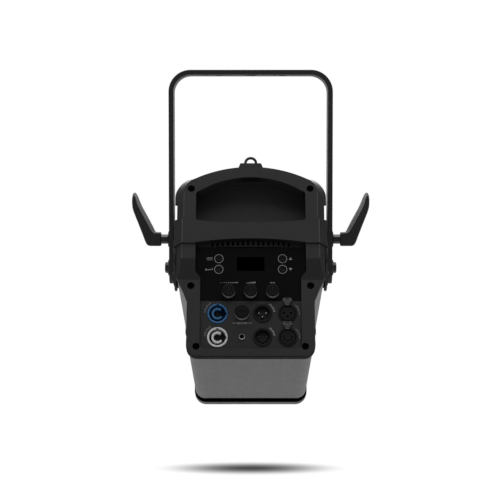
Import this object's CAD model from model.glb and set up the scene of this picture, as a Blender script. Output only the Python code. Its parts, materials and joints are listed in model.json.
# Looks of an ellipsoidal spotlight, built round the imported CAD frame.
# Shapes are in millimetres, in the axes of the hanging yoke or of the body, which
# is tipped nose-down. Both start on the tilt axis: X runs across (left is
# negative), Y from the rear panel to the front lens, Z up.
import json
import math

import bmesh
import bpy
from mathutils import Matrix, Vector

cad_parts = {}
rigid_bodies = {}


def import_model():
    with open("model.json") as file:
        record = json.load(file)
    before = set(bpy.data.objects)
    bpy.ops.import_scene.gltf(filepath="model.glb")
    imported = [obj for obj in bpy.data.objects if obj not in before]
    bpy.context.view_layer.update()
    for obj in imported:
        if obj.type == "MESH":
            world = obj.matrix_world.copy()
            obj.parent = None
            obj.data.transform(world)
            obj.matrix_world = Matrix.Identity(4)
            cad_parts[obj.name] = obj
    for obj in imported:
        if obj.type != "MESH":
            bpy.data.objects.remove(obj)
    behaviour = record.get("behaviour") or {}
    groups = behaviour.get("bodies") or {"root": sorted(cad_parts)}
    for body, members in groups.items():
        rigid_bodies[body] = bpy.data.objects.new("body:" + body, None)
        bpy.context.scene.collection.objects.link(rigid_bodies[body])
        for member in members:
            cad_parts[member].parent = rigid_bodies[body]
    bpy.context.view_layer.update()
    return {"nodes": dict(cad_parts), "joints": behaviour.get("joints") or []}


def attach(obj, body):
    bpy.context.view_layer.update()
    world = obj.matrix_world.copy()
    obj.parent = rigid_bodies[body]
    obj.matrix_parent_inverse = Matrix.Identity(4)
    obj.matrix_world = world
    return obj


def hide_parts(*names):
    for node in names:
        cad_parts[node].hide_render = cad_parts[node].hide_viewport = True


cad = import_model()

MM = 0.001
joints = {joint["name"]: joint for joint in cad["joints"]}
slide = Vector(joints["focus_slide"]["axis"])
TILT = math.atan2(-slide.z, slide.y)
HANG = Matrix.Translation(joints["tilt"]["pos_m"])
BODY = HANG @ Matrix.Rotation(-TILT, 4, "X")
ROOT, LAMP = "yoke_assembly", "lamp_body"
SIDES = (("left", -1), ("right", 1))

# yoke bar: half its outer span, thickness, width, top, bend radius, leg tip centre
YOKE_OUT, YOKE_T, YOKE_W, YOKE_TOP, YOKE_BEND, YOKE_TIP_Z = 101.1, 6.0, 34.0, 244.6, 27.0, -3
CLAMP_R = 35.6  # from the tilt axis to the clamp studs
CLAMP = (0, 0, CLAMP_R)
# stations along Y
REAR = -87.3  # rear face of the frame
FRAME_D = 16.0
LOWER = REAR + 6.0  # the lower part of that face, which steps in
PANEL = REAR + 9.0
FACE = PANEL - 1.0
SHELL_START = REAR + FRAME_D + 0.3
SHELL_END = 167.0
LIP_START, CAP_END = 184.0, 200.0
# the body's cross-section: half widths, waist, arch and underside
UP_W, LOW_W, WAIST_HI, WAIST_LO = 88.4, 74.6, -37.4, -66.0
ARCH_R, ARCH_TOP, BOTTOM = 158.0, 100.9, -132.2
ARCH_Z = ARCH_TOP - ARCH_R
# optics: axis height, radii, half side of the accessory holder
OPT_Z, BARREL_R, FRONT_R, TUBE_R, HOLD = 25.0, 58.0, 72.0, 69.0, 79.4
OPT = (0, 0, OPT_Z)

pieces = bpy.data.collections.new("looks")
bpy.context.scene.collection.children.link(pieces)


# ---- shader nodes -----------------------------------------------------------
class Nodes:
    """A node tree. Inputs are given as values to set or sockets to link."""

    def __init__(self, owner, clear=False):
        owner.use_nodes = True
        self.tree = owner.node_tree
        if clear:
            self.tree.nodes.clear()

    def feed(self, node, inputs):
        for key, value in inputs.items():
            if isinstance(value, bpy.types.NodeSocket):
                self.tree.links.new(value, node.inputs[key])
            else:
                node.inputs[key].default_value = value
        return node

    def add(self, kind, inputs={}, **settings):
        node = self.tree.nodes.new("ShaderNode" + kind)
        for key, value in settings.items():
            setattr(node, key, value)
        return self.feed(node, inputs)

    def maths(self, operation, *values):
        return self.add("Math", dict(enumerate(values)), operation=operation).outputs[0]

    def scale(self, colour, factor):
        node = self.add("VectorMath", {0: colour, "Scale": factor}, operation="SCALE")
        return node.outputs["Vector"]

    def split(self, vector):
        return self.add("SeparateXYZ", {0: vector}).outputs

    def remap(self, value, low, high, span=(0.3, 0.7), **settings):
        inputs = {
            "From Min": span[0], "From Max": span[1],
            "To Min": low, "To Max": high, "Value": value,
        }
        return self.add("MapRange", inputs, **settings).outputs["Result"]

    def noise(self, place, scale, detail=3.0, rough=0.55, stretch=None):
        if stretch:
            place = self.add("Mapping", {"Vector": place, "Scale": stretch}).outputs["Vector"]
        inputs = {"Scale": scale, "Detail": detail, "Roughness": rough, "Vector": place}
        return self.add("TexNoise", inputs).outputs["Fac"]

    def mix(self, factor, first, second):
        return self.add("MixShader", {"Fac": factor, 1: first, 2: second}).outputs[0]

    def camera_ray(self):
        return self.add("LightPath").outputs["Is Camera Ray"]


# ---- materials --------------------------------------------------------------
def shade_by_facing(nodes, shown, spec, middle, side, down, bloom):
    """Tone factors for slanting, sideways, downward and shoulder faces."""
    normal = nodes.add("NewGeometry").outputs["True Normal"]
    local = nodes.add(
        "VectorTransform", {0: normal},
        vector_type="NORMAL", convert_from="WORLD", convert_to="OBJECT",
    )
    parts = nodes.split(local.outputs[0])
    up = parts["Z"]
    aside = nodes.maths("ABSOLUTE", parts["X"])
    ramp = nodes.add("ValToRGB", {"Fac": aside})
    stops = [(0.0, 1.0), (0.07, 1.0), (0.18, middle), (0.54, middle), (0.66, side), (1.0, side)]
    top_level = 8  # the ramp holds levels as a share of this
    while len(ramp.color_ramp.elements) < len(stops):
        ramp.color_ramp.elements.new(0.5)
    for stop, (position, level) in zip(ramp.color_ramp.elements, stops):
        stop.position = position
        stop.color = (*[level / top_level] * 3, 1)
    under = nodes.remap(up, down, 1.0, span=(-0.17, -0.07))
    level = nodes.maths("MULTIPLY", ramp.outputs["Color"], under)
    shown = nodes.scale(shown, nodes.maths("MULTIPLY", level, float(top_level)))
    # shoulders that face up and aside carry a pale bloom
    shoulder = nodes.maths(
        "MULTIPLY",
        nodes.remap(up, 0.0, 1.0, span=(0.26, 0.60)),
        nodes.remap(aside, 0.0, 1.0, span=(0.12, 0.42)),
    )
    shown = nodes.scale(shown, nodes.remap(shoulder, 1.0, bloom, span=(0.0, 1.0)))
    shine = nodes.maths(
        "MULTIPLY",
        nodes.remap(up, 0.15, 1.0, span=(-0.9, -0.15)),
        nodes.remap(aside, spec, spec * 0.6, span=(0.50, 0.66)),
    )
    return shown, shine


def polish_inward(nodes, place, shown, strength):
    """Paler where a surface faces back and towards the object's middle."""
    side = nodes.maths("SIGN", nodes.split(place)["X"])
    normal = nodes.split(nodes.add("TexCoord").outputs["Normal"])
    across = nodes.maths("MULTIPLY", side, normal["X"])
    both = nodes.maths(
        "MULTIPLY",
        nodes.remap(across, 1.0, 0.0, span=(-0.75, -0.35)),
        nodes.remap(normal["Y"], 1.0, 0.0, span=(-0.40, -0.15)),
    )
    return nodes.scale(shown, nodes.remap(both, 1.0, strength, span=(0.0, 1.0)))


def surface(
    name, colour, rough, metal=0.0, spec=0.5, grain=0.15, grain_scale=1400.0, vary=0.10,
    rough_vary=0.06, streak=None, streak_depth=0.14, facing=None, inward=None,
):
    """A paint, moulding or metal: grain as bump, drifting tone and roughness."""
    material = bpy.data.materials.new(name)
    nodes = Nodes(material)
    place = nodes.add("TexCoord").outputs["Object"]
    tone = nodes.remap(nodes.noise(place, 22.0, detail=4.0), 1.0 - vary, 1.0 + vary)
    if streak:
        lines = nodes.noise(place, 90.0, rough=0.6, stretch=streak)
        lines = nodes.remap(lines, 1 - streak_depth, 1 + streak_depth)
        tone = nodes.maths("MULTIPLY", tone, lines)
    shown = nodes.scale(colour, tone)
    if facing:
        shown, spec = shade_by_facing(nodes, shown, spec, **facing)
    if inward:
        shown = polish_inward(nodes, place, shown, inward)
    fine = nodes.noise(place, grain_scale, detail=2.0, rough=0.6, stretch=streak)
    bump = nodes.add("Bump", {"Strength": grain, "Distance": 0.00012, "Height": fine})
    low_rough = max(0.02, rough - rough_vary)
    nodes.feed(nodes.tree.nodes["Principled BSDF"], {
        "Base Color": shown,
        "Roughness": nodes.remap(nodes.noise(place, 60.0), low_rough, rough + rough_vary),
        "Normal": bump.outputs["Normal"],
        "Metallic": metal,
        "Specular IOR Level": spec,
        "Coat Roughness": 0.15,
    })
    return material


def lens_glass():
    material = bpy.data.materials.new("lens_glass")
    nodes = Nodes(material)
    smear = nodes.noise(nodes.add("TexCoord").outputs["Object"], 35.0, detail=4.0)
    nodes.feed(nodes.tree.nodes["Principled BSDF"], {
        "Roughness": nodes.remap(smear, 0.01, 0.04),
        "Base Color": (0.95, 0.98, 0.985, 1),
        "Transmission Weight": 1.0,
        "IOR": 1.5,
        "Coat Weight": 0.3,
        "Coat Tint": (0.75, 0.8, 1.0, 1),
    })
    return material


def dim_grey(name):
    return surface(name, (0.03, 0.03, 0.03), rough=0.6, spec=0.1)


# paints
YOKE_PAINT = surface("yoke_powder_coat", (0.0125, 0.0125, 0.0130), rough=0.46, spec=0.38,
                     grain=0.30, grain_scale=900, vary=0.07)
PAINT = surface("body_powder_coat", (0.0145, 0.0145, 0.0150), rough=0.48, spec=0.35,
                grain=0.30, grain_scale=900, vary=0.08)
CAP_PAINT = surface("cap_coat", (0.05, 0.05, 0.052), rough=0.45, metal=0.2, grain=0.3,
                    grain_scale=900, vary=0.06)
NECK = surface("cap_neck", (0.0012, 0.0012, 0.0012), rough=0.7, spec=0.03, grain=0.1, vary=0.05)
PLATE = surface("plate_coat", (0.0165, 0.0165, 0.0170), rough=0.52, spec=0.22, grain=0.25,
                grain_scale=1100, vary=0.05)
# mouldings
MOULD = surface("grained_moulding", (0.0135, 0.0135, 0.0138), rough=0.52, spec=0.30,
                grain=0.25, grain_scale=1700, vary=0.05,
                facing=dict(middle=2.6, side=0.5, down=0.62, bloom=13.0))
SILL = surface("sill_moulding", (0.0150, 0.0150, 0.0152), rough=0.75, spec=0.04, grain=0.2,
               vary=0.05)
EDGE = surface("moulding_edge", (0.042, 0.042, 0.0424), rough=0.42, spec=0.35, vary=0.06)
TUB = surface("pocket_moulding", (0.0275, 0.0275, 0.0280), rough=0.55, spec=0.30, grain=0.20,
              grain_scale=1700, vary=0.04)
GRIP = surface("lever_moulding", (0.0120, 0.0120, 0.0124), rough=0.44, spec=0.36, grain=0.20,
               grain_scale=1300, vary=0.05, inward=20.0)
GRILLE = surface("grille_moulding", (0.0240, 0.0240, 0.0243), rough=0.52, spec=0.30,
                 grain=0.2, vary=0.06)
SOFT = surface("soft_touch", (0.0034, 0.0034, 0.0035), rough=0.50, spec=0.10, grain=0.12,
               grain_scale=2000, vary=0.06)
SKIRT = surface("satin_grey_rim", (0.230, 0.230, 0.232), rough=0.38, spec=0.4, grain=0.0,
                vary=0.05, rough_vary=0.02)
# panel and print
OVERLAY = surface("panel_overlay", (0.0024, 0.0024, 0.0025), rough=0.50, spec=0.05,
                  grain=0.08, grain_scale=2600, vary=0.06)
SCREEN = surface("display_glass", (0.00005, 0.00005, 0.00006), rough=0.35, spec=0.0,
                 grain=0.0, vary=0.05, rough_vary=0.03)
PRINT = surface("panel_print", (0.24, 0.24, 0.24), rough=0.6, spec=0.2, grain=0.05, vary=0.06)
PRINT_DIM = surface("panel_print_dim", (0.13, 0.13, 0.13), rough=0.6, spec=0.2, grain=0.05,
                    vary=0.06)
DOTS = dim_grey("dial_dots")
# sockets
SOCKET = surface("socket_black", (0.0062, 0.0062, 0.0062), rough=0.50, spec=0.12, grain=0.10,
                 grain_scale=1800, vary=0.06)
WELL = surface("socket_floor", (0.0135, 0.0135, 0.0135), rough=0.55, spec=0.15, grain=0.1,
               vary=0.06)
BLUE = surface("inlet_blue", (0.0165, 0.088, 0.205), rough=0.40, spec=0.35, grain=0.06,
               grain_scale=1800, vary=0.05)
BLUE_DEEP = surface("inlet_blue_deep", (0.0006, 0.017, 0.052), rough=0.5, spec=0.06,
                    grain=0.06, vary=0.05)
GREY = surface("outlet_grey", (0.50, 0.50, 0.50), rough=0.40, spec=0.4, grain=0.08,
               grain_scale=1800, vary=0.04)
GREY_DEEP = surface("outlet_grey_deep", (0.018, 0.018, 0.018), rough=0.5, spec=0.10,
                    grain=0.06, vary=0.05)
CREASE = surface("inner_black", (0.004, 0.004, 0.004), rough=0.7, spec=0.1, grain=0.1,
                 vary=0.05)
# metals
EXTRUSION = surface("anodised_extrusion", (0.088, 0.088, 0.090), rough=0.42, metal=0.5,
                    grain=0.04, grain_scale=600, vary=0.02, rough_vary=0.02,
                    streak=(1.0, 0.010, 1.0), streak_depth=0.05)
ZINC = surface("black_zinc", (0.030, 0.030, 0.031), rough=0.34, metal=0.75, grain_scale=700)
DARK_METAL = surface("sleeve_metal", (0.034, 0.034, 0.035), rough=0.26, metal=0.9,
                     grain=0.06, vary=0.08, streak=(0.05, 1, 1))
STEEL = surface("stainless_sheet", (0.46, 0.46, 0.45), rough=0.34, metal=1.0, grain=0.10,
                grain_scale=500, vary=0.06, streak=(1, 1, 0.03))
NICKEL = surface("satin_nickel", (0.070, 0.070, 0.068), rough=0.40, metal=0.8, grain=0.08,
                 grain_scale=900, vary=0.06)
JACK_NICKEL = surface("jack_nickel", (0.45, 0.45, 0.44), rough=0.3, metal=1.0)
SCREW_BLACK = surface("blackened_screw", (0.0022, 0.0022, 0.0022), rough=0.55, spec=0.06,
                      grain=0.05, vary=0.08)
PIN = surface("contact_pin", (0.32, 0.31, 0.28), rough=0.28, metal=1.0, grain=0.05, vary=0.05)
BRASS = surface("brass_contact", (0.030, 0.024, 0.012), rough=0.45, metal=0.9, grain=0.06,
                vary=0.08)
ALU = surface("bare_aluminium", (0.55, 0.55, 0.56), rough=0.38, metal=1.0, grain=0.12,
              grain_scale=500, vary=0.06, streak=(1, 0.04, 1))
# light source
BOARD = surface("led_board", (0.78, 0.78, 0.75), rough=0.38, grain=0.05, vary=0.05)
PHOSPHOR = surface("phosphor", (0.75, 0.52, 0.08), rough=0.4, vary=0.05)
GLASS = lens_glass()


# ---- shape tools ------------------------------------------------------------
def loose(name, data):
    obj = bpy.data.objects.new(name, data)
    bpy.context.scene.collection.objects.link(obj)
    return obj


def baked(obj):
    """The object's evaluated mesh; the object and its data go."""
    bpy.context.view_layer.update()
    graph = bpy.context.evaluated_depsgraph_get()
    mesh = bpy.data.meshes.new_from_object(obj.evaluated_get(graph))
    data = obj.data
    bpy.data.objects.remove(obj)
    if isinstance(data, bpy.types.Mesh):
        bpy.data.meshes.remove(data)
    else:
        bpy.data.curves.remove(data)
    return mesh


def as_mesh(edit, name):
    mesh = bpy.data.meshes.new(name)
    edit.to_mesh(mesh)
    edit.free()
    return mesh


def tidy(mesh, matrix=None, dissolve=0.0):
    """Merges doubles, dissolves below an angle in degrees, moves, turns normals out."""
    edit = bmesh.new()
    edit.from_mesh(mesh)
    bmesh.ops.remove_doubles(edit, verts=edit.verts, dist=2e-6)
    if dissolve:
        limit = math.radians(dissolve)
        bmesh.ops.dissolve_limit(edit, angle_limit=limit, verts=edit.verts, edges=edit.edges)
    if matrix is not None:
        bmesh.ops.transform(edit, matrix=matrix, verts=edit.verts)
    bmesh.ops.recalc_face_normals(edit, faces=edit.faces)
    edit.to_mesh(mesh)
    edit.free()
    return mesh


def triangulated(mesh):
    edit = bmesh.new()
    edit.from_mesh(mesh)
    large = [face for face in edit.faces if len(face.verts) > 4]
    bmesh.ops.triangulate(edit, faces=large, ngon_method="BEAUTY")
    edit.to_mesh(mesh)
    edit.free()
    return mesh


# an outline's plane and its normal, turned to face along each axis
PLANE = {
    "X": Matrix(((0, 0, 1), (1, 0, 0), (0, 1, 0))).to_4x4(),
    "Y": Matrix(((1, 0, 0), (0, 0, -1), (0, 1, 0))).to_4x4(),
    "Z": Matrix.Identity(4),
}
AXIS = {"X": Vector((1, 0, 0)), "Y": Vector((0, 1, 0)), "Z": Vector((0, 0, 1))}
SPIN = {
    "X": Matrix.Rotation(math.pi / 2, 4, "Y"),
    "Y": Matrix.Rotation(-math.pi / 2, 4, "X"),
    "Z": Matrix.Identity(4),
}


def flat(loops, axis, start, end):
    """A flat outline, with holes if it has more loops, from start to end along axis."""
    curve = bpy.data.curves.new("outline", "CURVE")
    curve.dimensions = "2D"
    curve.fill_mode = "BOTH"
    curve.extrude = abs(end - start) * MM / 2
    for loop in loops:
        spline = curve.splines.new("POLY")
        spline.points.add(len(loop) - 1)
        for point, (across, up) in zip(spline.points, loop):
            point.co = (across * MM, up * MM, 0, 1)
        spline.use_cyclic_u = True
    mesh = baked(loose("outline", curve))
    move = Matrix.Translation(AXIS[axis] * ((start + end) / 2 * MM))
    return tidy(mesh, move @ PLANE[axis], dissolve=0.3)


def turned(profile, axis, centre=(0, 0, 0), steps=48, closed=False, start=0, way=1):
    """Spins (radius, height) points; heights run from start in the sense of way."""
    edit = bmesh.new()
    verts = [
        edit.verts.new((radius * MM, 0, (start + way * height) * MM))
        for radius, height in profile
    ]
    for pair in zip(verts, verts[1:] + (verts[:1] if closed else [])):
        edit.edges.new(pair)
    obj = loose("profile", as_mesh(edit, "profile"))
    screw = obj.modifiers.new("Screw", "SCREW")
    screw.steps = screw.render_steps = steps
    screw.use_merge_vertices = True
    screw.merge_threshold = 1e-5
    return tidy(baked(obj), Matrix.Translation(Vector(centre) * MM) @ SPIN[axis])


def rod(radius, axis, start, end, centre=(0, 0, 0), steps=40):
    low, high = sorted((start, end))
    profile = [(0, high), (radius, high), (radius, low), (0, low)]
    return turned(profile, axis, centre, steps)


def block(corner, opposite, bevel=0.0, segments=1):
    edit = bmesh.new()
    size = [abs(b - a) * MM for a, b in zip(corner, opposite)]
    middle = [(a + b) * MM / 2 for a, b in zip(corner, opposite)]
    bmesh.ops.create_cube(edit, size=1.0)
    matrix = Matrix.Translation(middle) @ Matrix.Diagonal((*size, 1))
    bmesh.ops.transform(edit, matrix=matrix, verts=edit.verts)
    if bevel:
        bmesh.ops.bevel(
            edit, geom=edit.edges[:], offset=bevel * MM, segments=segments,
            affect="EDGES", profile=0.5,
        )
    return tidy(as_mesh(edit, "block"))


def loft(rings):
    """A closed body through rings of (x, y, z) of equal length, capped at both ends."""
    edit = bmesh.new()
    rows = [[edit.verts.new(Vector(point) * MM) for point in ring] for ring in rings]
    count = len(rows[0])
    for row, beyond in zip(rows, rows[1:]):
        for k in range(count):
            after = (k + 1) % count
            edit.faces.new((row[k], row[after], beyond[after], beyond[k]))
    edit.faces.new(rows[0][::-1])
    edit.faces.new(rows[-1])
    return tidy(as_mesh(edit, "loft"))


def layered(levels):
    """A loft through (x, z) outlines, each with its y."""
    return loft([[(x, y, z) for x, z in outline] for outline, y in levels])


def wire(points, radius, resolution=3):
    curve = bpy.data.curves.new("wire", "CURVE")
    curve.dimensions = "3D"
    curve.bevel_depth = radius * MM
    curve.bevel_resolution = resolution
    curve.use_fill_caps = True
    spline = curve.splines.new("POLY")
    spline.points.add(len(points) - 1)
    for point, (x, y, z) in zip(spline.points, points):
        point.co = (x * MM, y * MM, z * MM, 1)
    return tidy(baked(loose("wire", curve)))


def combine(mesh, *steps, dissolve=0.3):
    """Boolean steps, each ("cut" or "join" or "keep", mesh), made real."""
    kinds = {"cut": "DIFFERENCE", "join": "UNION", "keep": "INTERSECT"}
    obj = loose("work", mesh)
    tools = []
    for kind, tool_mesh in steps:
        tool = loose("tool", tool_mesh)
        tools.append(tool)
        boolean = obj.modifiers.new("Boolean", "BOOLEAN")
        boolean.operation = kinds[kind]
        boolean.solver = "EXACT"
        boolean.object = tool
    result = baked(obj)
    for tool in tools:
        data = tool.data
        bpy.data.objects.remove(tool)
        bpy.data.meshes.remove(data)
    return tidy(result, dissolve=dissolve)


def merged(meshes):
    """Separate bodies of one kind, such as pins, kept in one piece."""
    edit = bmesh.new()
    for mesh in meshes:
        edit.from_mesh(mesh)
        bpy.data.meshes.remove(mesh)
    return as_mesh(edit, "merged")


def swung(mesh, degrees):
    """The mesh turned round the optical axis."""
    centre = Vector(OPT) * MM
    turn = Matrix.Rotation(math.radians(degrees), 4, "Y")
    mesh.transform(Matrix.Translation(centre) @ turn @ Matrix.Translation(-centre))
    return mesh


def add(
    name, mesh, material, body=LAMP, axes=BODY,
    bevel=0.0, steps=2, angle=32, sharp=38, replaces=None,
):
    """A finished piece; edges over angle are bevelled, those over sharp shade hard."""
    mesh.name = name
    mesh.materials.clear()
    mesh.materials.append(material)
    mesh.shade_smooth()
    mesh.set_sharp_from_angle(angle=math.radians(sharp))
    obj = bpy.data.objects.new(name, mesh)
    pieces.objects.link(obj)
    obj.matrix_world = axes
    if bevel:
        edges = obj.modifiers.new("Edges", "BEVEL")
        edges.width = bevel * MM
        edges.segments = steps
        edges.limit_method = "ANGLE"
        edges.angle_limit = math.radians(angle)
        edges.miter_outer = "MITER_ARC"
        obj.modifiers.new("Normals", "WEIGHTED_NORMAL").keep_sharp = True
    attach(obj, body)
    if replaces:
        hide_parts(replaces)
    return obj


# ---- outlines ---------------------------------------------------------------
def polar(x, y, radius, degrees):
    angle = math.radians(degrees)
    return (x + radius * math.cos(angle), y + radius * math.sin(angle))


def arc(x, y, radius, start, end, steps):
    return [polar(x, y, radius, start + (end - start) * k / steps) for k in range(steps + 1)]


def circle(x, y, radius, count=40):
    return arc(x, y, radius, 0, 360 * (count - 1) / count, count - 1)


def hexagon(x, y, radius, turn=30):
    return [polar(x, y, radius, turn + 60 * k) for k in range(6)]


def strip(x0, z0, x1, z1):
    return [(x0, z0), (x1, z0), (x1, z1), (x0, z1)]


def rounded(x0, z0, x1, z1, radius, steps):
    return (
        arc(x1 - radius, z1 - radius, radius, 0, 90, steps)
        + arc(x0 + radius, z1 - radius, radius, 90, 180, steps)
        + arc(x0 + radius, z0 + radius, radius, 180, 270, steps)
        + arc(x1 - radius, z0 + radius, radius, 270, 360, steps)
    )


def placed(x, z, points):
    return [(x + dx, z + dz) for dx, dz in points]


def mirrored(half):
    return half + [(-x, z) for x, z in reversed(half) if x > 1e-6]


def crown(centre_z, radius, reach, steps):
    """The top of a circle, from the middle out to x = reach."""
    along = [reach * k / steps for k in range(steps + 1)]
    return [(x, centre_z + math.sqrt(radius**2 - x * x)) for x in along]


def smooth(points, count):
    """A Catmull-Rom curve with count points for every one given."""
    result = []
    last = len(points) - 1
    for i in range(last):
        corners = zip(points[max(0, i - 1)], points[i], points[i + 1], points[min(last, i + 2)])
        spans = [
            (2 * b, c - a, 2 * a - 5 * b + 4 * c - d, 3 * b - a - 3 * c + d)
            for a, b, c, d in corners
        ]
        for k in range(count):
            t = k / count
            result.append(tuple(
                0.5 * (p + q * t + r * t * t + u * t**3) for p, q, r, u in spans
            ))
    return result + [tuple(points[-1])]


# the shoulder beside the arch: x, z, and the way its surface faces
SHOULDER = smooth([
    (66.0, 88.5, 0.08, 1.0), (71.0, 87.8, 0.20, 0.98), (75.4, 86.3, 0.40, 0.92),
    (79.2, 83.7, 0.62, 0.78), (82.6, 80.0, 0.76, 0.65), (85.4, 75.8, 0.88, 0.47),
    (87.4, 71.2, 0.96, 0.28), (88.4, 66.0, 1.0, 0.0),
], 3)
# the rear frame's shoulders (x, z): behind, on its face, and on its wider edge
FACE_SHOULDER = smooth([
    (66.5, 86.2), (70.5, 84.3), (73.2, 82.6), (75.4, 80.6), (77.4, 78.0),
    (78.9, 75.2), (79.9, 72.2), (80.3, 69.1), (80.4, 66.0),
], 4)
EDGE_SHOULDER = smooth([
    (66.5, 88.9), (71.6, 88.5), (76.5, 87.3), (80.4, 85.2), (83.9, 81.9),
    (87.3, 77.5), (89.5, 73.4), (90.8, 69.6), (91.3, 66.0),
], 4)


def section(inset, corner=13.0):
    """The body's cross-section drawn in by inset on every side."""
    half = crown(ARCH_Z, ARCH_R - inset, 62.0, 25)
    half += [(x - inset * nx, z - inset * nz) for x, z, nx, nz in SHOULDER]
    half += [(UP_W - inset, WAIST_HI + 0.232 * inset), (LOW_W - inset, WAIST_LO + 0.232 * inset)]
    half += arc(LOW_W - inset - corner, BOTTOM + inset + corner, corner, 0, -90, 14)
    return mirrored(half)


def frame_ring(outer):
    """The rear frame's outline: its flat face, or the wider edge ahead of it."""
    half = crown(ARCH_Z, ARCH_R, 62.0, 30)
    half += EDGE_SHOULDER + [(91.3, -31.4)] if outer else FACE_SHOULDER + [(80.4, -54.0)]
    half += [(80.4, -54.0), (LOW_W + 1.0, WAIST_LO)]
    half += arc(LOW_W + 1.0 - 13.0, BOTTOM + 13.0, 13.0, 0, -90, 14)
    return mirrored(half)


# ---- yoke -------------------------------------------------------------------
def yoke_leg(inset):
    """Half of the bar's outline, from the end of a leg to the top."""
    bend = arc(YOKE_OUT - YOKE_BEND, YOKE_TOP - YOKE_BEND, YOKE_BEND - inset, 0, 90, 18)
    return [(YOKE_OUT - inset, YOKE_TIP_Z - YOKE_W / 2)] + bend


tip = [(-22, YOKE_TIP_Z), (-22, -24), (22, -24), (22, YOKE_TIP_Z)]
tip += arc(0, YOKE_TIP_Z, YOKE_W / 2, 0, -180, 28)
cuts = [("cut", flat([tip], "X", -110, 110)), ("cut", rod(6.5, "Z", 230, 255))]
cuts += [("cut", rod(4.5, "Z", 230, 255, (x, 0, 0), 32)) for x in (-40, 40)]
cuts += [("cut", rod(5.3, "X", -110, 110, steps=32))]
cuts += [("cut", rod(4.6, "X", -110, 110, CLAMP, 32))]
bar = flat([mirrored(yoke_leg(0)) + mirrored(yoke_leg(YOKE_T))[::-1]], "Y",
           -YOKE_W / 2, YOKE_W / 2)
add("yoke_bar", combine(bar, *cuts), YOKE_PAINT, ROOT, HANG, bevel=0.8, steps=3,
    replaces="yoke")

# ---- hinge and lock hardware ------------------------------------------------
# the handle's outline from the hub round to the tip and back: x, z, and how far
# the front and back faces are drawn in from it
ARM = [
    (111.6, 42.9, 0.6, 0), (111.6, 28.4, 0.6, 0), (112.0, 27.3, 0.6, 0.7),
    (113.0, 27.0, 0, 0.9), (125.2, 27.0, 0, 0.9), (127.4, 27.5, -0.4, 0.8),
    (129.4, 29.0, -0.7, 0.6), (130.6, 30.9, -0.8, 0.4), (131.8, 33.6, -0.9, 0.4),
    (134.3, 40.4, -0.9, 0.4), (137.2, 47.9, -0.9, 0.4), (140.8, 57.2, -0.9, 0.4),
    (144.5, 66.5, -0.9, 0.4), (145.9, 70.2, -0.9, 0.3), (147.0, 74.0, -0.9, 0.2),
    (147.5, 77.7, -0.9, 0), (147.7, 81.4, -0.9, -0.2), (147.7, 85.1, -0.9, -0.6),
    (147.4, 88.4, -1.0, -1.6), (146.9, 90.6, -1.0, -2.6), (146.0, 92.5, -0.8, -3.3),
    (144.9, 93.5, -0.2, -3.6), (143.6, 93.4, 0.5, -3.4), (142.4, 92.2, 1.1, -2.9),
    (141.0, 89.6, 1.9, -2.3), (139.6, 86.4, 2.6, -1.8), (138.4, 83.2, 3.1, -1.5),
    (137.2, 80.4, 3.4, -1.4), (136.0, 77.7, 3.5, -1.4), (134.1, 73.8, 3.6, -1.4),
    (131.1, 68.3, 3.6, -1.4), (128.1, 62.8, 3.6, -1.4), (125.0, 57.0, 3.6, -1.4),
    (122.2, 51.6, 3.6, -1.4), (120.8, 48.8, 3.5, -1.4), (119.9, 46.8, 3.0, -1.3),
    (119.1, 45.3, 2.0, -1.1), (118.0, 44.4, 0.8, -1.0), (116.8, 44.2, 0, -0.9),
    (113.0, 44.2, 0, -0.9), (112.0, 43.8, 0.6, -0.7),
]
# share of the draw, distance from the handle's middle plane
ARM_LEVELS = [(1.0, 9.0), (0.94, 8.75), (0.80, 8.1), (0.10, 4.7), (0.02, 4.1), (0.0, 3.4)]
# turned profiles: radius, distance out from the middle of the light
SLEEVE = [(0, 113), (6.0, 113), (6.0, 104.0), (5.3, 103.2), (0, 103.2)]
LEVER_SCREW = [(0, 125.7), (2.9, 125.7), (3.5, 125.2), (3.5, 124.6), (0, 124.6)]
STUD = [
    (0, 108.9), (3.0, 108.9), (3.4, 108.5), (3.4, 102.9), (9.2, 102.9), (9.8, 102.5),
    (9.8, 101.9), (9.4, 101.6), (4.2, 101.6), (4.2, 91.5), (7.2, 91.5), (7.6, 91.1),
    (7.6, 89.3), (0, 89.1),
]
WASHER = [(4.0, 102.95), (9.4, 102.95), (10.0, 102.5), (10.0, 101.9), (9.6, 101.6), (4.0, 101.6)]
BOLT_HEAD = [(0, 106.9), (5.4, 106.9), (7.2, 105.7), (7.2, 102.0), (0, 102.0)]
BOLT_SHANK = [(0, 101.7), (4.9, 101.7), (4.9, 89.6), (4.5, 89.2), (0, 89.2)]


def lever(sign):
    def ring(draw):
        return [(sign * (x + dx * draw), z + dz * draw) for x, z, dx, dz in ARM]

    back = [(ring(draw), -y) for draw, y in ARM_LEVELS]
    return layered(back + [(ring(draw), y) for draw, y in reversed(ARM_LEVELS)])


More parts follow.
